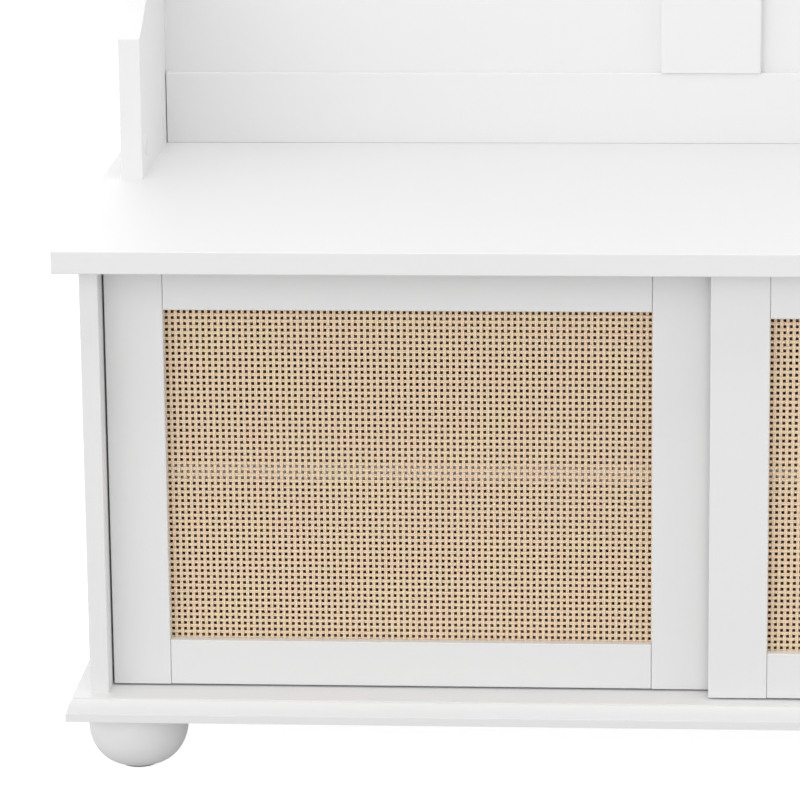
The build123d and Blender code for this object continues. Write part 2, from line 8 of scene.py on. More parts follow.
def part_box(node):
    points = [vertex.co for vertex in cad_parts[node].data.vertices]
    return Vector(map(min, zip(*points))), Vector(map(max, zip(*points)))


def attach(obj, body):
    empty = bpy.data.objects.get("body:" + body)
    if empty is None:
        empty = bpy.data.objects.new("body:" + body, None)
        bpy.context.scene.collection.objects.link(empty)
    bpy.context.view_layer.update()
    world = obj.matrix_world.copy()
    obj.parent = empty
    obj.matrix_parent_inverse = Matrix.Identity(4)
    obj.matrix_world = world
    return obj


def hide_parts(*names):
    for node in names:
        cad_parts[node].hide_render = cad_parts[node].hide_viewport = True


# The looks of a white hall tree: satin paint, hand-woven cane in the sliding doors, and its small fittings.
# Lengths are in metres, in the frame of the CAD model: X right, Y to the wall, Z up.

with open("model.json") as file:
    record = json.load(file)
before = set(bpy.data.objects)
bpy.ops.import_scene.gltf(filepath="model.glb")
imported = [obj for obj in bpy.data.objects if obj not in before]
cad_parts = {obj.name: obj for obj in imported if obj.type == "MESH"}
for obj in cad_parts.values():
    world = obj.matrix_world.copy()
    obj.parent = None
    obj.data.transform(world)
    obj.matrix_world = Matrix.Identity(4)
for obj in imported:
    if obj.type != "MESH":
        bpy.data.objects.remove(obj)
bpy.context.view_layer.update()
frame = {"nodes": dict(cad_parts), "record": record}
nodes = frame["nodes"]
scene = bpy.context.scene
print("frame loaded:", len(nodes), "nodes")


# Small helpers for node trees

def join(tree, source, target):
    tree.links.new(source, target)


def addNode(tree, kind, values=None, **settings):
    node = tree.nodes.new(kind)
    for name, value in settings.items():
        setattr(node, name, value)
    for name, value in (values or {}).items():
        if isinstance(value, bpy.types.NodeSocket):
            join(tree, value, node.inputs[name])
        else:
            node.inputs[name].default_value = value
    return node


def calc(tree, operation, *terms):
    node = addNode(tree, "ShaderNodeMath", dict(enumerate(terms)), operation=operation)
    return node.outputs[0]


def remap(tree, value, low, high, fromLow=0.0, fromHigh=1.0):
    node = addNode(tree, "ShaderNodeMapRange", {
        "Value": value, "From Min": fromLow, "From Max": fromHigh, "To Min": low, "To Max": high,
    })
    return node.outputs["Result"]


def noise(tree, vector, scale, detail=2.0, roughness=0.5):
    node = addNode(tree, "ShaderNodeTexNoise", {
        "Vector": vector, "Scale": scale, "Detail": detail, "Roughness": roughness,
    })
    return node.outputs["Fac"]


def blendColors(tree, factor, first, second):
    node = addNode(tree, "ShaderNodeMix", {0: factor, 6: first, 7: second}, data_type="RGBA")
    return node.outputs[2]


# Shader groups that more than one finish uses

socketKinds = {"float": "NodeSocketFloat", "color": "NodeSocketColor", "vector": "NodeSocketVector"}


def newGroup(name, inputs, outputs):
    group = bpy.data.node_groups.new(name, "ShaderNodeTree")
    for label, kind, value in inputs:
        socket = group.interface.new_socket(label, in_out="INPUT", socket_type=socketKinds[kind])
        socket.default_value = value
    for label, kind in outputs:
        group.interface.new_socket(label, in_out="OUTPUT", socket_type=socketKinds[kind])
    return group, group.nodes.new("NodeGroupInput").outputs, group.nodes.new("NodeGroupOutput").inputs


def objectPlace(tree):
    return addNode(tree, "ShaderNodeTexCoord").outputs["Object"]


def makeCoatGroup():
    # A sprayed coat: slow drift in tone, patches that shine a little more or less, and a fine orange peel
    patchesPerDrift = 5.0
    group, given, result = newGroup("sprayedCoat", [
        ("Color", "color", (0.8, 0.8, 0.8, 1.0)), ("Tone Spread", "float", 0.02),
        ("Roughness", "float", 0.4), ("Roughness Spread", "float", 0.05),
        ("Peel Scale", "float", 400.0), ("Drift Scale", "float", 3.0),
    ], [("Color", "color"), ("Roughness", "float"), ("Height", "float")])
    place = objectPlace(group)
    drift = calc(group, "SUBTRACT", noise(group, place, given["Drift Scale"], 3.0), 0.5)
    tone = calc(group, "MULTIPLY_ADD", drift, given["Tone Spread"], 1.0)
    toned = addNode(group, "ShaderNodeVectorMath", {0: given["Color"], "Scale": tone}, operation="SCALE")
    patchScale = calc(group, "MULTIPLY", given["Drift Scale"], patchesPerDrift)
    patches = calc(group, "SUBTRACT", noise(group, place, patchScale, 4.0, 0.6), 0.5)
    join(group, toned.outputs[0], result["Color"])
    join(group, calc(group, "MULTIPLY_ADD", patches, given["Roughness Spread"], given["Roughness"]),
         result["Roughness"])
    join(group, noise(group, place, given["Peel Scale"], 1.5), result["Height"])
    return group


def makeFibreGroup():
    # Long fibres: streaks stretched along one direction, between a pale and a deep tone
    streakShare = 0.65
    poreShare = 0.35
    softestShare = 0.36
    strongestShare = 0.64
    group, given, result = newGroup("longFibres", [
        ("Pale", "color", (0.8, 0.65, 0.45, 1.0)), ("Deep", "color", (0.5, 0.35, 0.2, 1.0)),
        ("Stretch", "vector", (1.0, 1.0, 1.0)), ("Depth", "float", 0.5), ("Pore Scale", "float", 4.0),
    ], [("Color", "color"), ("Height", "float")])
    along = addNode(group, "ShaderNodeVectorMath", {0: objectPlace(group), 1: given["Stretch"]},
                    operation="MULTIPLY").outputs[0]
    streak = noise(group, along, 1.0, 4.0, 0.62)
    pores = noise(group, along, given["Pore Scale"], 2.0, 0.5)
    both = calc(group, "MULTIPLY_ADD", pores, poreShare, calc(group, "MULTIPLY", streak, streakShare))
    spreadOut = remap(group, both, 0.0, 1.0, softestShare, strongestShare)
    share = calc(group, "MULTIPLY", spreadOut, given["Depth"])
    join(group, blendColors(group, share, given["Pale"], given["Deep"]), result["Color"])
    join(group, both, result["Height"])
    return group


def makeMetalGroup():
    # Drawn or plated metal: fine lines along the draw, over a slow cloud of tone
    group, given, result = newGroup("drawnMetal", [
        ("Color", "color", (0.7, 0.7, 0.7, 1.0)), ("Stretch", "vector", (1.0, 1.0, 1.0)),
        ("Cloud Scale", "float", 60.0), ("Tone Spread", "float", 0.1),
        ("Roughness", "float", 0.35), ("Roughness Spread", "float", 0.15),
    ], [("Color", "color"), ("Roughness", "float"), ("Height", "float")])
    place = objectPlace(group)
    along = addNode(group, "ShaderNodeVectorMath", {0: place, 1: given["Stretch"]},
                    operation="MULTIPLY").outputs[0]
    lines = noise(group, along, 1.0, 3.0, 0.7)
    cloud = calc(group, "SUBTRACT", noise(group, place, given["Cloud Scale"], 3.0), 0.5)
    tone = calc(group, "MULTIPLY_ADD", cloud, given["Tone Spread"], 1.0)
    toned = addNode(group, "ShaderNodeVectorMath", {0: given["Color"], "Scale": tone}, operation="SCALE")
    join(group, toned.outputs[0], result["Color"])
    shine = calc(group, "MULTIPLY_ADD", calc(group, "SUBTRACT", lines, 0.5), given["Roughness Spread"],
                 given["Roughness"])
    join(group, shine, result["Roughness"])
    join(group, lines, result["Height"])
    return group


def makeInsideShadeGroup():
    # Mask for painted shade: one on the surfaces inside the cabinet, behind the shelves' front edges, and
    # nothing elsewhere
    group, given, result = newGroup("cabinetInsideShade", [
        ("Half Width", "float", 0.5), ("Front", "float", -0.1), ("Back", "float", 0.1),
        ("Floor", "float", 0.1), ("Ceiling", "float", 0.4), ("Fade", "float", 0.004),
    ], [("Mask", "float")])
    split = addNode(group, "ShaderNodeSeparateXYZ", {"Vector": objectPlace(group)}).outputs
    behind = calc(group, "DIVIDE", calc(group, "SUBTRACT", split["Y"], given["Front"]), given["Fade"])
    mask = calc(group, "MINIMUM", calc(group, "MAXIMUM", behind, 0.0), 1.0)
    for test in (calc(group, "LESS_THAN", split["Y"], given["Back"]),
                 calc(group, "LESS_THAN", calc(group, "ABSOLUTE", split["X"]), given["Half Width"]),
                 calc(group, "GREATER_THAN", split["Z"], given["Floor"]),
                 calc(group, "LESS_THAN", split["Z"], given["Ceiling"])):
        mask = calc(group, "MULTIPLY", mask, test)
    join(group, mask, result["Mask"])
    return group


coatGroup = makeCoatGroup()
insideShadeGroup = makeInsideShadeGroup()
fibreGroup = makeFibreGroup()
metalGroup = makeMetalGroup()
print("shader groups made")


# Finishes

def newFinish(name, shader):
    # A material with one Principled node, whose even values are set on its own sockets
    material = bpy.data.materials.new(name)
    material.use_nodes = True
    tree = material.node_tree
    principled = tree.nodes["Principled BSDF"]
    for label, value in shader.items():
        principled.inputs[label].default_value = value
    return material, tree, principled


def useGroup(tree, group, values):
    node = addNode(tree, "ShaderNodeGroup", node_tree=group)
    for label, value in values.items():
        node.inputs[label].default_value = value
    return node.outputs


def raiseBump(tree, principled, height, strength, distance):
    bump = addNode(tree, "ShaderNodeBump", {"Height": height, "Strength": strength, "Distance": distance})
    join(tree, bump.outputs["Normal"], principled.inputs["Normal"])


def coatedFinish(name, coat, shader, bumpStrength, bumpDistance):
    material, tree, principled = newFinish(name, shader)
    skin = useGroup(tree, coatGroup, coat)
    join(tree, skin["Color"], principled.inputs["Base Color"])
    join(tree, skin["Roughness"], principled.inputs["Roughness"])
    raiseBump(tree, principled, skin["Height"], bumpStrength, bumpDistance)
    return material


def metalFinish(name, metal, bumpStrength, bumpDistance):
    material, tree, principled = newFinish(name, {"Metallic": 1.0})
    skin = useGroup(tree, metalGroup, metal)
    join(tree, skin["Color"], principled.inputs["Base Color"])
    join(tree, skin["Roughness"], principled.inputs["Roughness"])
    raiseBump(tree, principled, skin["Height"], bumpStrength, bumpDistance)
    return material


whiteCoat = {
    "spray": {
        "Color": (0.81, 0.81, 0.81, 1.0), "Tone Spread": 0.02,
        "Roughness": 0.42, "Roughness Spread": 0.10, "Peel Scale": 520.0, "Drift Scale": 2.6,
    },
    "bumpStrength": 0.12,
    "bumpDistance": 0.0004,
    "inside": (0.59, 0.56, 0.52, 1.0),     # painted shade: a darker, duller white inside the cabinet, where little light gets in
    "insideMargin": 0.0003,
    "edgeKept": 0.003,                     # how far the full white reaches in past a shelf's front edge before the painted shade starts
}


def makeWhitePaint():
    # Satin white, and painted shade inside the cabinet: a darker, duller white where little light gets in
    material, tree, principled = newFinish("whitePaint", {"IOR": 1.46})
    skin = useGroup(tree, coatGroup, whiteCoat["spray"])
    margin = whiteCoat["insideMargin"]
    inside = useGroup(tree, insideShadeGroup, {
        "Half Width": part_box("right_side_panel")[0].x + margin,
        "Front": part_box("left_shelf")[0].y + whiteCoat["edgeKept"],
        "Back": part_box("cabinet_back_panel")[0].y + margin,
        "Floor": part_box("base_board")[1].z - margin,
        "Ceiling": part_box("bench_top")[0].z + margin,
    })["Mask"]
    # painted shade: surfaces inside the cabinet take the darker colour
    color = blendColors(tree, inside, skin["Color"], whiteCoat["inside"])
    join(tree, color, principled.inputs["Base Color"])
    join(tree, skin["Roughness"], principled.inputs["Roughness"])
    raiseBump(tree, principled, skin["Height"], whiteCoat["bumpStrength"], whiteCoat["bumpDistance"])
    return material


whitePaint = makeWhitePaint()

blackIron = coatedFinish("blackIron", {
    "Color": (0.020, 0.020, 0.022, 1.0), "Tone Spread": 0.35,
    "Roughness": 0.46, "Roughness Spread": 0.18, "Peel Scale": 1500.0, "Drift Scale": 25.0,
}, {"IOR": 1.5, "Coat Weight": 0.15, "Coat Roughness": 0.35}, bumpStrength=0.35, bumpDistance=0.0003)

nylon = coatedFinish("nylon", {
    "Color": (0.78, 0.78, 0.75, 1.0), "Tone Spread": 0.05,
    "Roughness": 0.5, "Roughness Spread": 0.12, "Peel Scale": 2600.0, "Drift Scale": 40.0,
}, {
    "Subsurface Weight": 0.15, "Subsurface Radius": (0.002, 0.002, 0.002),
}, bumpStrength=0.15, bumpDistance=0.0002)

aluminium = metalFinish("aluminium", {
    "Color": (0.78, 0.79, 0.80, 1.0), "Stretch": (6.0, 2600.0, 2600.0),
    "Cloud Scale": 12.0, "Tone Spread": 0.08, "Roughness": 0.34, "Roughness Spread": 0.22,
}, bumpStrength=0.2, bumpDistance=0.0001)

zincSteel = metalFinish("zincSteel", {
    "Color": (0.70, 0.72, 0.75, 1.0), "Stretch": (900.0, 900.0, 900.0),
    "Cloud Scale": 260.0, "Tone Spread": 0.28, "Roughness": 0.30, "Roughness Spread": 0.20,
}, bumpStrength=0.2, bumpDistance=0.0001)

zincDieCast = metalFinish("zincDieCast", {
    "Color": (0.60, 0.61, 0.62, 1.0), "Stretch": (2200.0, 2200.0, 2200.0),
    "Cloud Scale": 340.0, "Tone Spread": 0.22, "Roughness": 0.46, "Roughness Spread": 0.20,
}, bumpStrength=0.45, bumpDistance=0.0002)


beechDowel = {
    "grain": {
        "Pale": (0.62, 0.44, 0.27, 1.0), "Deep": (0.42, 0.26, 0.14, 1.0),
        "Stretch": (900.0, 900.0, 45.0), "Depth": 0.8, "Pore Scale": 3.0,
    },
    "roughness": 0.62,
    "bumpStrength": 0.4,
    "bumpDistance": 0.0002,
}


def makeBeech():
    material, tree, principled = newFinish("beech", {"Roughness": beechDowel["roughness"]})
    grain = useGroup(tree, fibreGroup, beechDowel["grain"])
    join(tree, grain["Color"], principled.inputs["Base Color"])
    raiseBump(tree, principled, grain["Height"], beechDowel["bumpStrength"], beechDowel["bumpDistance"])
    return material


feltPad = {
    "shader": {"Roughness": 0.95, "Sheen Weight": 0.4, "Sheen Roughness": 0.5},
    "fuzzScale": 1400.0,
    "tuftScale": 260.0,
    "dark": (0.20, 0.19, 0.18, 1.0),
    "light": (0.36, 0.35, 0.33, 1.0),
    "darkBelow": 0.35,
    "lightAbove": 0.65,
    "bumpStrength": 0.8,
    "bumpDistance": 0.0006,
}


def makeFelt():
    material, tree, principled = newFinish("felt", feltPad["shader"])
    place = objectPlace(tree)
    fuzz = noise(tree, place, feltPad["fuzzScale"], 6.0, 0.75)
    tufts = noise(tree, place, feltPad["tuftScale"], 3.0)
    mixed = calc(tree, "MULTIPLY_ADD", tufts, 0.5, calc(tree, "MULTIPLY", fuzz, 0.5))
    share = remap(tree, mixed, 0.0, 1.0, feltPad["darkBelow"], feltPad["lightAbove"])
    shade = blendColors(tree, share, feltPad["dark"], feltPad["light"])
    join(tree, shade, principled.inputs["Base Color"])
    raiseBump(tree, principled, fuzz, feltPad["bumpStrength"], feltPad["bumpDistance"])
    return material


beech = makeBeech()
felt = makeFelt()

finishOfSlot = {
    "white_paint": whitePaint, "nylon": nylon, "aluminium": aluminium, "zinc_steel": zincSteel,
    "zinc_die_cast": zincDieCast, "felt": felt, "beech": beech, "black_iron": blackIron,
}


def dressNodes():
    # Every CAD node that stays gets the finish of its slot in the record
    for part in frame["record"]["subparts"]:
        finish = finishOfSlot.get(part["material_slot"])
        if finish is None:
            continue
        for slot in nodes[part["node"]].material_slots:
            slot.material = finish


dressNodes()
print("finishes on the CAD nodes")


# Geometry Nodes helpers

def newShapeTree(name, inputs):
    tree = bpy.data.node_groups.new(name, "GeometryNodeTree")
    for label, kind in inputs:
        tree.interface.new_socket(label, in_out="INPUT", socket_type="NodeSocket" + kind)
    tree.interface.new_socket("Geometry", in_out="OUTPUT", socket_type="NodeSocketGeometry")
    return tree, tree.nodes.new("NodeGroupInput").outputs, tree.nodes.new("NodeGroupOutput").inputs


def grow(name, tree, values, placement):
    # Run a tree on an empty mesh and keep the result as a plain mesh, moved to its place
    piece = bpy.data.objects.new(name, bpy.data.meshes.new(name))
    scene.collection.objects.link(piece)
    modifier = piece.modifiers.new("shape", "NODES")
    modifier.node_group = tree
    for item in tree.interface.items_tree:
        if item.in_out == "INPUT" and item.name in values:
            modifier[item.identifier] = values[item.name]
    depsgraph = bpy.context.evaluated_depsgraph_get()
    mesh = bpy.data.meshes.new_from_object(piece.evaluated_get(depsgraph), preserve_all_data_layers=True,
                                           depsgraph=depsgraph)
    piece.modifiers.remove(modifier)
    mesh.name = name
    mesh.transform(placement)
    piece.data = mesh
    return piece


# Woven cane: pairs of split strands, two over and two under, with a square eye between the pairs

caneWeave = {
    "pitch": 0.00482,            # from one eye to the next
    "strandWidth": 0.00123,
    "strandThickness": 0.00054,
    "pairGap": 0.00002,
    "lift": 0.00030,             # how far a strand rises and dips about the middle of the sheet
    "widthSpread": 0.10,
    "sway": 0.00012,             # how far strands wander from straight
    "swayScale": 26.0,
    "firstEyeX": 0.0077,         # from the sheet's left edge to the first column of eyes
    "firstEyeZ": 0.0085,         # from the sheet's lower edge to the first row of eyes
    "crown": 0.78,               # the strand's top face as a share of its width
    "levelSeed": 7,
    "uprightSeed": 27,
}


def makeStrandTree():
    # Strands run along X, side by side in Y, and rise and dip in Z
    tree, given, result = newShapeTree("wovenStrands", [
        ("Bands", "Int"), ("Crossings", "Int"), ("Pitch", "Float"), ("Strand Width", "Float"),
        ("Strand Thickness", "Float"), ("Pair Gap", "Float"), ("Lift", "Float"), ("Phase", "Int"),
        ("Width Spread", "Float"), ("Sway", "Float"), ("Sway Scale", "Float"), ("Crown", "Float"),
        ("Seed", "Int"), ("Finish", "Material"),
    ])
    pitch = given["Pitch"]
    strandCount = calc(tree, "MULTIPLY", given["Bands"], 2.0)
    index = addNode(tree, "GeometryNodeInputIndex").outputs[0]
    band = calc(tree, "FLOOR", calc(tree, "DIVIDE", index, 2.0))
    inPair = calc(tree, "SUBTRACT", calc(tree, "MODULO", index, 2.0), 0.5)
    pairStep = calc(tree, "ADD", given["Strand Width"], given["Pair Gap"])
    middle = calc(tree, "MULTIPLY", calc(tree, "ADD", band, 0.5), pitch)
    strandY = calc(tree, "MULTIPLY_ADD", inPair, pairStep, middle)
    start = addNode(tree, "ShaderNodeCombineXYZ", {"Y": strandY})
    points = addNode(tree, "GeometryNodePoints", {"Count": strandCount, "Position": start.outputs[0]})

    quarter = calc(tree, "MULTIPLY", pitch, 0.25)
    farEnd = calc(tree, "MULTIPLY", calc(tree, "SUBTRACT", given["Crossings"], 0.25), pitch)
    line = addNode(tree, "GeometryNodeCurvePrimitiveLine", {
        "Start": addNode(tree, "ShaderNodeCombineXYZ", {"X": quarter}).outputs[0],
        "End": addNode(tree, "ShaderNodeCombineXYZ", {"X": farEnd}).outputs[0],
    })
    ringed = addNode(tree, "GeometryNodeResampleCurve", {
        "Curve": line.outputs[0], "Count": calc(tree, "MULTIPLY", given["Crossings"], 2.0),
    })
    strands = addNode(tree, "GeometryNodeInstanceOnPoints", {
        "Points": points.outputs[0], "Instance": ringed.outputs[0],
    })
    loose = addNode(tree, "GeometryNodeRealizeInstances", {"Geometry": strands.outputs[0]})

    place = addNode(tree, "GeometryNodeInputPosition").outputs[0]
    split = addNode(tree, "ShaderNodeSeparateXYZ", {"Vector": place})
    crossing = calc(tree, "FLOOR", calc(tree, "DIVIDE", split.outputs["X"], pitch))
    row = calc(tree, "FLOOR", calc(tree, "DIVIDE", split.outputs["Y"], pitch))
    turn = calc(tree, "ADD", calc(tree, "ADD", crossing, row), given["Phase"])
    side = calc(tree, "MULTIPLY_ADD", calc(tree, "MODULO", turn, 2.0), -2.0, 1.0)
    wander = addNode(tree, "ShaderNodeTexNoise", {
        "Vector": place, "Scale": given["Sway Scale"], "Detail": 2.0, "W": given["Seed"],
    }, noise_dimensions="4D")
    drift = calc(tree, "SUBTRACT", wander.outputs["Fac"], 0.5)
    sideways = calc(tree, "MULTIPLY", drift, given["Sway"])
    halfPitch = calc(tree, "MULTIPLY", pitch, 0.5)
    strandId = calc(tree, "FLOOR", calc(tree, "DIVIDE", split.outputs["Y"], halfPitch))
    shift = addNode(tree, "ShaderNodeCombineXYZ", {
        "Y": calc(tree, "MULTIPLY", sideways, 2.0),
        "Z": calc(tree, "MULTIPLY_ADD", side, given["Lift"], sideways),
    })

    tint = addNode(tree, "FunctionNodeRandomValue", {
        "ID": strandId, "Seed": given["Seed"],
    }, data_type="FLOAT")
    tinted = addNode(tree, "GeometryNodeStoreNamedAttribute", {
        "Geometry": loose.outputs[0], "Name": "strandTint", "Value": tint.outputs[1],
    }, data_type="FLOAT", domain="POINT")
    woven = addNode(tree, "GeometryNodeSetPosition", {
        "Geometry": tinted.outputs[0], "Offset": shift.outputs[0],
    })
    upright = addNode(tree, "GeometryNodeSetCurveNormal", {"Curve": woven.outputs[0]}, mode="Z_UP")
    narrowest = calc(tree, "SUBTRACT", 1.0, given["Width Spread"])
    wide = addNode(tree, "FunctionNodeRandomValue", {
        "ID": strandId, "Seed": calc(tree, "ADD", given["Seed"], 1.0), 2: narrowest, 3: 1.0,
    }, data_type="FLOAT")
    sized = addNode(tree, "GeometryNodeSetCurveRadius", {
        "Curve": upright.outputs[0], "Radius": wide.outputs[1],
    })
    section = addNode(tree, "GeometryNodeCurvePrimitiveQuadrilateral", {
        "Bottom Width": given["Strand Width"], "Height": given["Strand Thickness"],
        "Top Width": calc(tree, "MULTIPLY", given["Strand Width"], given["Crown"]), "Offset": 0.0,
    }, mode="TRAPEZOID")
    tubes = addNode(tree, "GeometryNodeCurveToMesh", {
        "Curve": sized.outputs[0], "Profile Curve": section.outputs[0], "Fill Caps": True,
    })
    smooth = addNode(tree, "GeometryNodeSetShadeSmooth", {"Geometry": tubes.outputs[0]})
    whole = addNode(tree, "GeometryNodeRealizeInstances", {"Geometry": smooth.outputs[0]})
    painted = addNode(tree, "GeometryNodeSetMaterial", {
        "Geometry": whole.outputs[0], "Material": given["Finish"],
    })
    join(tree, painted.outputs[0], result["Geometry"])
    return tree


caneLook = {
    "pale": (0.98, 0.78, 0.565, 1.0),
    "deep": (0.87, 0.62, 0.40, 1.0),
    "sideShade": (0.30, 0.17, 0.08, 1.0),       # painted shade: dark brown on the strands' sides and backs, turned away from the room
    "sideShadeTurn": (-0.45, 0.0),    # how far a surface turns from the room before the painted shade starts and where it is full
    "fibreDepth": 0.55,
    "poreScale": 2.5,
    "strandTone": 0.28,          # how far a strand may go towards the deep tone
    # patches of other tones: from where to where on the noise they come in, and how strong they get
    "pink": {
        "color": (0.98, 0.69, 0.52, 1.0), "place": (0.0, 0.0, 0.0), "scale": 38.0,
        "comesIn": (0.50, 0.72), "most": 0.55,
    },
    "straw": {
        "color": (0.95, 0.80, 0.50, 1.0), "place": (3.1, 1.7, 5.3), "scale": 30.0,
        "comesIn": (0.52, 0.74), "most": 0.5,
    },
    "ior": 1.45,
    "roughness": (0.40, 0.60),   # on the low and the high fibres
    "bumpStrength": 0.5,
    "bumpDistance": 0.00015,
}


def addCanePatches(tree, color, patch):
    moved = addNode(tree, "ShaderNodeMapping", {"Vector": objectPlace(tree), "Location": patch["place"]})
    cloud = noise(tree, moved.outputs[0], patch["scale"], 3.0, 0.6)
    share = remap(tree, cloud, 0.0, patch["most"], *patch["comesIn"])
    return blendColors(tree, share, color, patch["color"])


def makeCaneFinish(name, stretch):
    # Glossy skin of split cane: fibre streaks, one tone for each strand, and patches of pink and straw.
    # The sides and backs of the strands, turned away from the room, get painted shade in dark brown, which
    # darkens the eyes.
    material, tree, principled = newFinish(name, {"IOR": caneLook["ior"]})
    fibres = useGroup(tree, fibreGroup, {
        "Pale": caneLook["pale"], "Deep": caneLook["deep"], "Stretch": stretch,
        "Depth": caneLook["fibreDepth"], "Pore Scale": caneLook["poreScale"],
    })
    color = addCanePatches(tree, fibres["Color"], caneLook["pink"])
    color = addCanePatches(tree, color, caneLook["straw"])
    tint = addNode(tree, "ShaderNodeAttribute", attribute_name="strandTint").outputs["Fac"]
    color = blendColors(tree, remap(tree, tint, 0.0, caneLook["strandTone"]), color, caneLook["deep"])
    # painted shade: the further a surface turns from the room, the more it takes the dark brown
    normal = addNode(tree, "ShaderNodeTexCoord").outputs["Normal"]
    facing = addNode(tree, "ShaderNodeSeparateXYZ", {"Vector": normal}).outputs["Y"]
    split = remap(tree, facing, 0.0, 1.0, *caneLook["sideShadeTurn"])
    join(tree, blendColors(tree, split, color, caneLook["sideShade"]), principled.inputs["Base Color"])
    lowFibre = 0.3
    highFibre = 0.7
    shine = remap(tree, fibres["Height"], *caneLook["roughness"], lowFibre, highFibre)
    join(tree, shine, principled.inputs["Roughness"])
    raiseBump(tree, principled, fibres["Height"], caneLook["bumpStrength"], caneLook["bumpDistance"])
    return material


def weaveDoor(door, tree, levelFinish, uprightFinish):
    low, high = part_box(door + "_cane_sheet")
    pitch = caneWeave["pitch"]
    # the eyes are half a pitch from the bands on either side
    startX = low.x + caneWeave["firstEyeX"] - pitch
    startZ = low.z + caneWeave["firstEyeZ"] - pitch
    columns = int((high.x - startX) / pitch)
    rows = int((high.z - startZ) / pitch)
    middleY = (low.y + high.y) / 2
    shared = {
        "Pitch": pitch, "Strand Width": caneWeave["strandWidth"],
        "Strand Thickness": caneWeave["strandThickness"], "Pair Gap": caneWeave["pairGap"],
        "Lift": caneWeave["lift"], "Width Spread": caneWeave["widthSpread"], "Sway": caneWeave["sway"],
        "Sway Scale": caneWeave["swayScale"], "Crown": caneWeave["crown"],
    }
    # level strands: X stays, Y becomes up, Z faces the room
    levelPlace = Matrix.Translation((startX, middleY, startZ)) @ Matrix.Rotation(pi / 2, 4, "X")
    level = grow(door + "_cane_level_strands", tree, {
        **shared, "Bands": rows, "Crossings": columns, "Phase": 0, "Seed": caneWeave["levelSeed"],
        "Finish": levelFinish,
    }, levelPlace)
    # upright strands: drawn from the top down, so they cross on the other side of each level strand
    turned = Matrix(((0, 1, 0, 0), (0, 0, -1, 0), (-1, 0, 0, 0), (0, 0, 0, 1)))
    uprightPlace = Matrix.Translation((startX, middleY, startZ + rows * pitch)) @ turned
    upright = grow(door + "_cane_upright_strands", tree, {
        **shared, "Bands": columns, "Crossings": rows, "Phase": rows % 2, "Seed": caneWeave["uprightSeed"],
        "Finish": uprightFinish,
    }, uprightPlace)
    for piece in (level, upright):
        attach(piece, door)
        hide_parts(door + "_cane_sheet")
    faceCount = len(level.data.polygons) + len(upright.data.polygons)
    print(door, "cane woven:", columns, "by", rows, "bands,", faceCount, "faces")


strandTree = makeStrandTree()
levelCane = makeCaneFinish("caneLevel", (60.0, 1500.0, 2600.0))
uprightCane = makeCaneFinish("caneUpright", (2600.0, 1500.0, 60.0))
for doorName in ("left_door", "right_door"):
    weaveDoor(doorName, strandTree, levelCane, uprightCane)


# The screws that hold the coat hooks: countersunk heads with a cross recess, each turned its own way

hookScrews = {
    "columns": 4,
    "rows": 2,
    "shankRadius": 0.0020,
    "neckShare": 0.98,           # the head's narrow end as a share of the shank, which it runs into
    "recessLength": 0.0046,
    "recessWidth": 0.0010,
    "recessDepth": 0.0011,
    "sides": 48,
    "seed": 3,
}

blackZinc = metalFinish("blackZinc", {
    "Color": (0.055, 0.055, 0.06, 1.0), "Stretch": (1500.0, 1500.0, 1500.0),
    "Cloud Scale": 420.0, "Tone Spread": 0.5, "Roughness": 0.36, "Roughness Spread": 0.20,
}, bumpStrength=0.25, bumpDistance=0.0001)


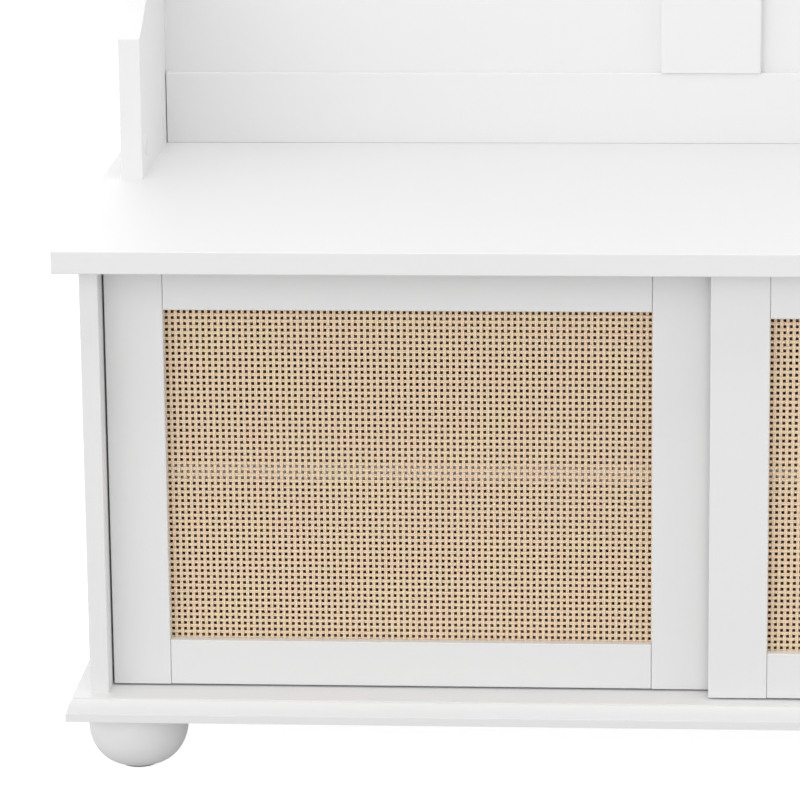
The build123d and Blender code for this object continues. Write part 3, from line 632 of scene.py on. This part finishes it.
def makeScrewTree():
    # Heads look along +Z from a sheet of points in X and Y, and the shanks go down
    tree, given, result = newShapeTree("crossHeadScrews", [
        ("Span X", "Float"), ("Span Y", "Float"), ("Columns", "Int"), ("Rows", "Int"),
        ("Head Radius", "Float"), ("Shank Radius", "Float"), ("Neck Share", "Float"), ("Length", "Float"),
        ("Recess Length", "Float"), ("Recess Width", "Float"), ("Recess Depth", "Float"),
        ("Sides", "Int"), ("Seed", "Int"), ("Finish", "Material"),
    ])
    headDepth = calc(tree, "SUBTRACT", given["Head Radius"], given["Shank Radius"])
    head = addNode(tree, "GeometryNodeMeshCone", {
        "Vertices": given["Sides"], "Radius Top": given["Head Radius"],
        "Radius Bottom": calc(tree, "MULTIPLY", given["Shank Radius"], given["Neck Share"]),
        "Depth": headDepth,
    })
    headDrop = addNode(tree, "ShaderNodeCombineXYZ", {"Z": calc(tree, "MULTIPLY", headDepth, -1.0)})
    lowered = addNode(tree, "GeometryNodeTransform", {
        "Geometry": head.outputs[0], "Translation": headDrop.outputs[0],
    })
    shank = addNode(tree, "GeometryNodeMeshCylinder", {
        "Vertices": given["Sides"], "Radius": given["Shank Radius"],
        "Depth": calc(tree, "SUBTRACT", given["Length"], calc(tree, "MULTIPLY", headDepth, 0.5)),
    })
    sunk = calc(tree, "MULTIPLY_ADD", headDepth, 0.25, calc(tree, "MULTIPLY", given["Length"], 0.5))
    shankDrop = addNode(tree, "ShaderNodeCombineXYZ", {"Z": calc(tree, "MULTIPLY", sunk, -1.0)})
    shankPlace = addNode(tree, "GeometryNodeTransform", {
        "Geometry": shank.outputs[0], "Translation": shankDrop.outputs[0],
    })
    body = addNode(tree, "GeometryNodeMeshBoolean", operation="UNION")
    join(tree, lowered.outputs[0], body.inputs["Mesh 2"])
    join(tree, shankPlace.outputs[0], body.inputs["Mesh 2"])

    cut = addNode(tree, "GeometryNodeMeshBoolean", {"Mesh 1": body.outputs[0]}, operation="DIFFERENCE")
    twiceDepth = calc(tree, "MULTIPLY", given["Recess Depth"], 2.0)
    for sizes in ({"X": given["Recess Length"], "Y": given["Recess Width"], "Z": twiceDepth},
                  {"X": given["Recess Width"], "Y": given["Recess Length"], "Z": twiceDepth}):
        arm = addNode(tree, "GeometryNodeMeshCube", {
            "Size": addNode(tree, "ShaderNodeCombineXYZ", sizes).outputs[0]})
        join(tree, arm.outputs[0], cut.inputs["Mesh 2"])

    sheet = addNode(tree, "GeometryNodeMeshGrid", {
        "Size X": given["Span X"], "Size Y": given["Span Y"], "Vertices X": given["Columns"],
        "Vertices Y": given["Rows"],
    })
    turn = addNode(tree, "FunctionNodeRandomValue", {
        2: 0.0, 3: pi, "Seed": given["Seed"],
    }, data_type="FLOAT")
    screws = addNode(tree, "GeometryNodeInstanceOnPoints", {
        "Points": sheet.outputs[0], "Instance": cut.outputs[0],
        "Rotation": addNode(tree, "ShaderNodeCombineXYZ", {"Z": turn.outputs[1]}).outputs[0],
    })
    whole = addNode(tree, "GeometryNodeRealizeInstances", {"Geometry": screws.outputs[0]})
    painted = addNode(tree, "GeometryNodeSetMaterial", {
        "Geometry": whole.outputs[0], "Material": given["Finish"],
    })
    join(tree, painted.outputs[0], result["Geometry"])
    return tree


def makeHookScrews():
    low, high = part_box("hook_screws")
    # the box ends at the outer edge of the heads, whose width is the same in X and Z
    headRadius = high.x - (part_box("coat_hook_4")[0].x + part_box("coat_hook_4")[1].x) / 2
    middle = (low + high) / 2
    place = Matrix.Translation((middle.x, low.y, middle.z)) @ Matrix.Rotation(pi / 2, 4, "X")
    screws = grow("hook_cross_screws", makeScrewTree(), {
        "Span X": high.x - low.x - 2 * headRadius, "Span Y": high.z - low.z - 2 * headRadius,
        "Columns": hookScrews["columns"], "Rows": hookScrews["rows"], "Head Radius": headRadius,
        "Shank Radius": hookScrews["shankRadius"], "Neck Share": hookScrews["neckShare"],
        "Length": high.y - low.y, "Recess Length": hookScrews["recessLength"],
        "Recess Width": hookScrews["recessWidth"], "Recess Depth": hookScrews["recessDepth"],
        "Sides": hookScrews["sides"], "Seed": hookScrews["seed"], "Finish": blackZinc,
    }, place)
    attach(screws, "cabinet")
    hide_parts("hook_screws")
    print("hook screws made:", len(screws.data.polygons), "faces")


makeHookScrews()


# Floor, lights and camera

slant = 0.7071                   # each part of a direction at 45 degrees

studio = {
    "backdropWhite": 1.0,        # what the camera sees past the floor
    # soft light from each side of the room: direction towards the light, strength
    "softLights": {
        "left": ((-1.0, 0.0, 0.0), 0.69),
        "leftFront": ((-slant, -slant, 0.0), 1.85),
        "front": ((0.0, -1.0, 0.0), 0.82),
        "right": ((1.0, 0.0, 0.0), 2.41),
        "overBack": ((0.0, slant, slant), 1.95),
    },
    "spread": 3.0,               # the higher, the narrower each soft light
    "floorColor": (0.40, 0.40, 0.40, 1.0),
    "floorRoughness": 0.8,
    "floorGlow": 0.20,
    "floorGlowSeen": 0.66,       # more glow for the camera alone, so the floor reads as white paper
    "floorHalf": 12.0,
    "topLamp": {"place": (-0.1, -1.035, 4.314), "target": (-0.1, 0.0, 0.45), "size": 1.6, "power": 49.0},
}


def makeFloor():
    half = studio["floorHalf"]
    mesh = bpy.data.meshes.new("studio_floor")
    corners = [(-half, -half, 0.0), (half, -half, 0.0), (half, half, 0.0), (-half, half, 0.0)]
    mesh.from_pydata(corners, [], [(0, 1, 2, 3)])
    floor = bpy.data.objects.new("studio_floor", mesh)
    scene.collection.objects.link(floor)
    material, tree, principled = newFinish("studioFloor", {
        "Base Color": studio["floorColor"], "Roughness": studio["floorRoughness"],
        "Emission Color": (1.0, 1.0, 1.0, 1.0),
    })
    seen = addNode(tree, "ShaderNodeLightPath").outputs["Is Camera Ray"]
    glow = calc(tree, "MULTIPLY_ADD", seen, studio["floorGlowSeen"], studio["floorGlow"])
    join(tree, glow, principled.inputs["Emission Strength"])
    mesh.materials.append(material)


def makeWorld():
    # Soft lights all round, which the camera sees as an even white backdrop
    world = bpy.data.worlds.new("studio")
    scene.world = world
    world.use_nodes = True
    tree = world.node_tree
    background = tree.nodes["Background"]
    ray = addNode(tree, "ShaderNodeTexCoord").outputs["Generated"]
    toward = addNode(tree, "ShaderNodeVectorMath", {0: ray}, operation="NORMALIZE").outputs[0]
    light = 0.0
    for direction, strength in studio["softLights"].values():
        facing = addNode(tree, "ShaderNodeVectorMath", {0: toward, 1: direction}, operation="DOT_PRODUCT")
        lobe = calc(tree, "POWER", calc(tree, "MAXIMUM", facing.outputs["Value"], 0.0), studio["spread"])
        light = calc(tree, "MULTIPLY_ADD", lobe, strength, light)
    seen = addNode(tree, "ShaderNodeLightPath").outputs["Is Camera Ray"]
    mixed = addNode(tree, "ShaderNodeMix", {
        0: seen, 2: light, 3: studio["backdropWhite"],
    }, data_type="FLOAT")
    background.inputs["Color"].default_value = (1.0, 1.0, 1.0, 1.0)
    join(tree, mixed.outputs[0], background.inputs["Strength"])


def makeLamp(name, lamp):
    light = bpy.data.lights.new(name, "AREA")
    light.shape = "SQUARE"
    light.size = lamp["size"]
    light.energy = lamp["power"]
    holder = bpy.data.objects.new(name, light)
    scene.collection.objects.link(holder)
    aim = Vector(lamp["target"]) - Vector(lamp["place"])
    turned = aim.to_track_quat("-Z", "Y").to_matrix().to_4x4()
    holder.matrix_world = Matrix.Translation(lamp["place"]) @ turned


view = {
    "place": (-0.0076, -3.4998, 1.1359),
    "lens": 195.8,
    "sensorWidth": 36.0,
    "yaw": 0.07104,              # turned towards the left, in radians
    "pitch": 0.2451,             # tilted down
    "roll": -0.01089,
}


def makeCamera():
    lensData = bpy.data.cameras.new("camera")
    lensData.lens = view["lens"]
    lensData.sensor_width = view["sensorWidth"]
    camera = bpy.data.objects.new("camera", lensData)
    scene.collection.objects.link(camera)
    camera.matrix_world = (
        Matrix.Translation(view["place"]) @ Matrix.Rotation(view["yaw"], 4, "Z")
        @ Matrix.Rotation(pi / 2 - view["pitch"], 4, "X") @ Matrix.Rotation(view["roll"], 4, "Z")
    )
    scene.camera = camera


makeFloor()
makeWorld()
makeLamp("topLamp", studio["topLamp"])
makeCamera()
scene.view_settings.view_transform = "Standard"
print("studio ready")
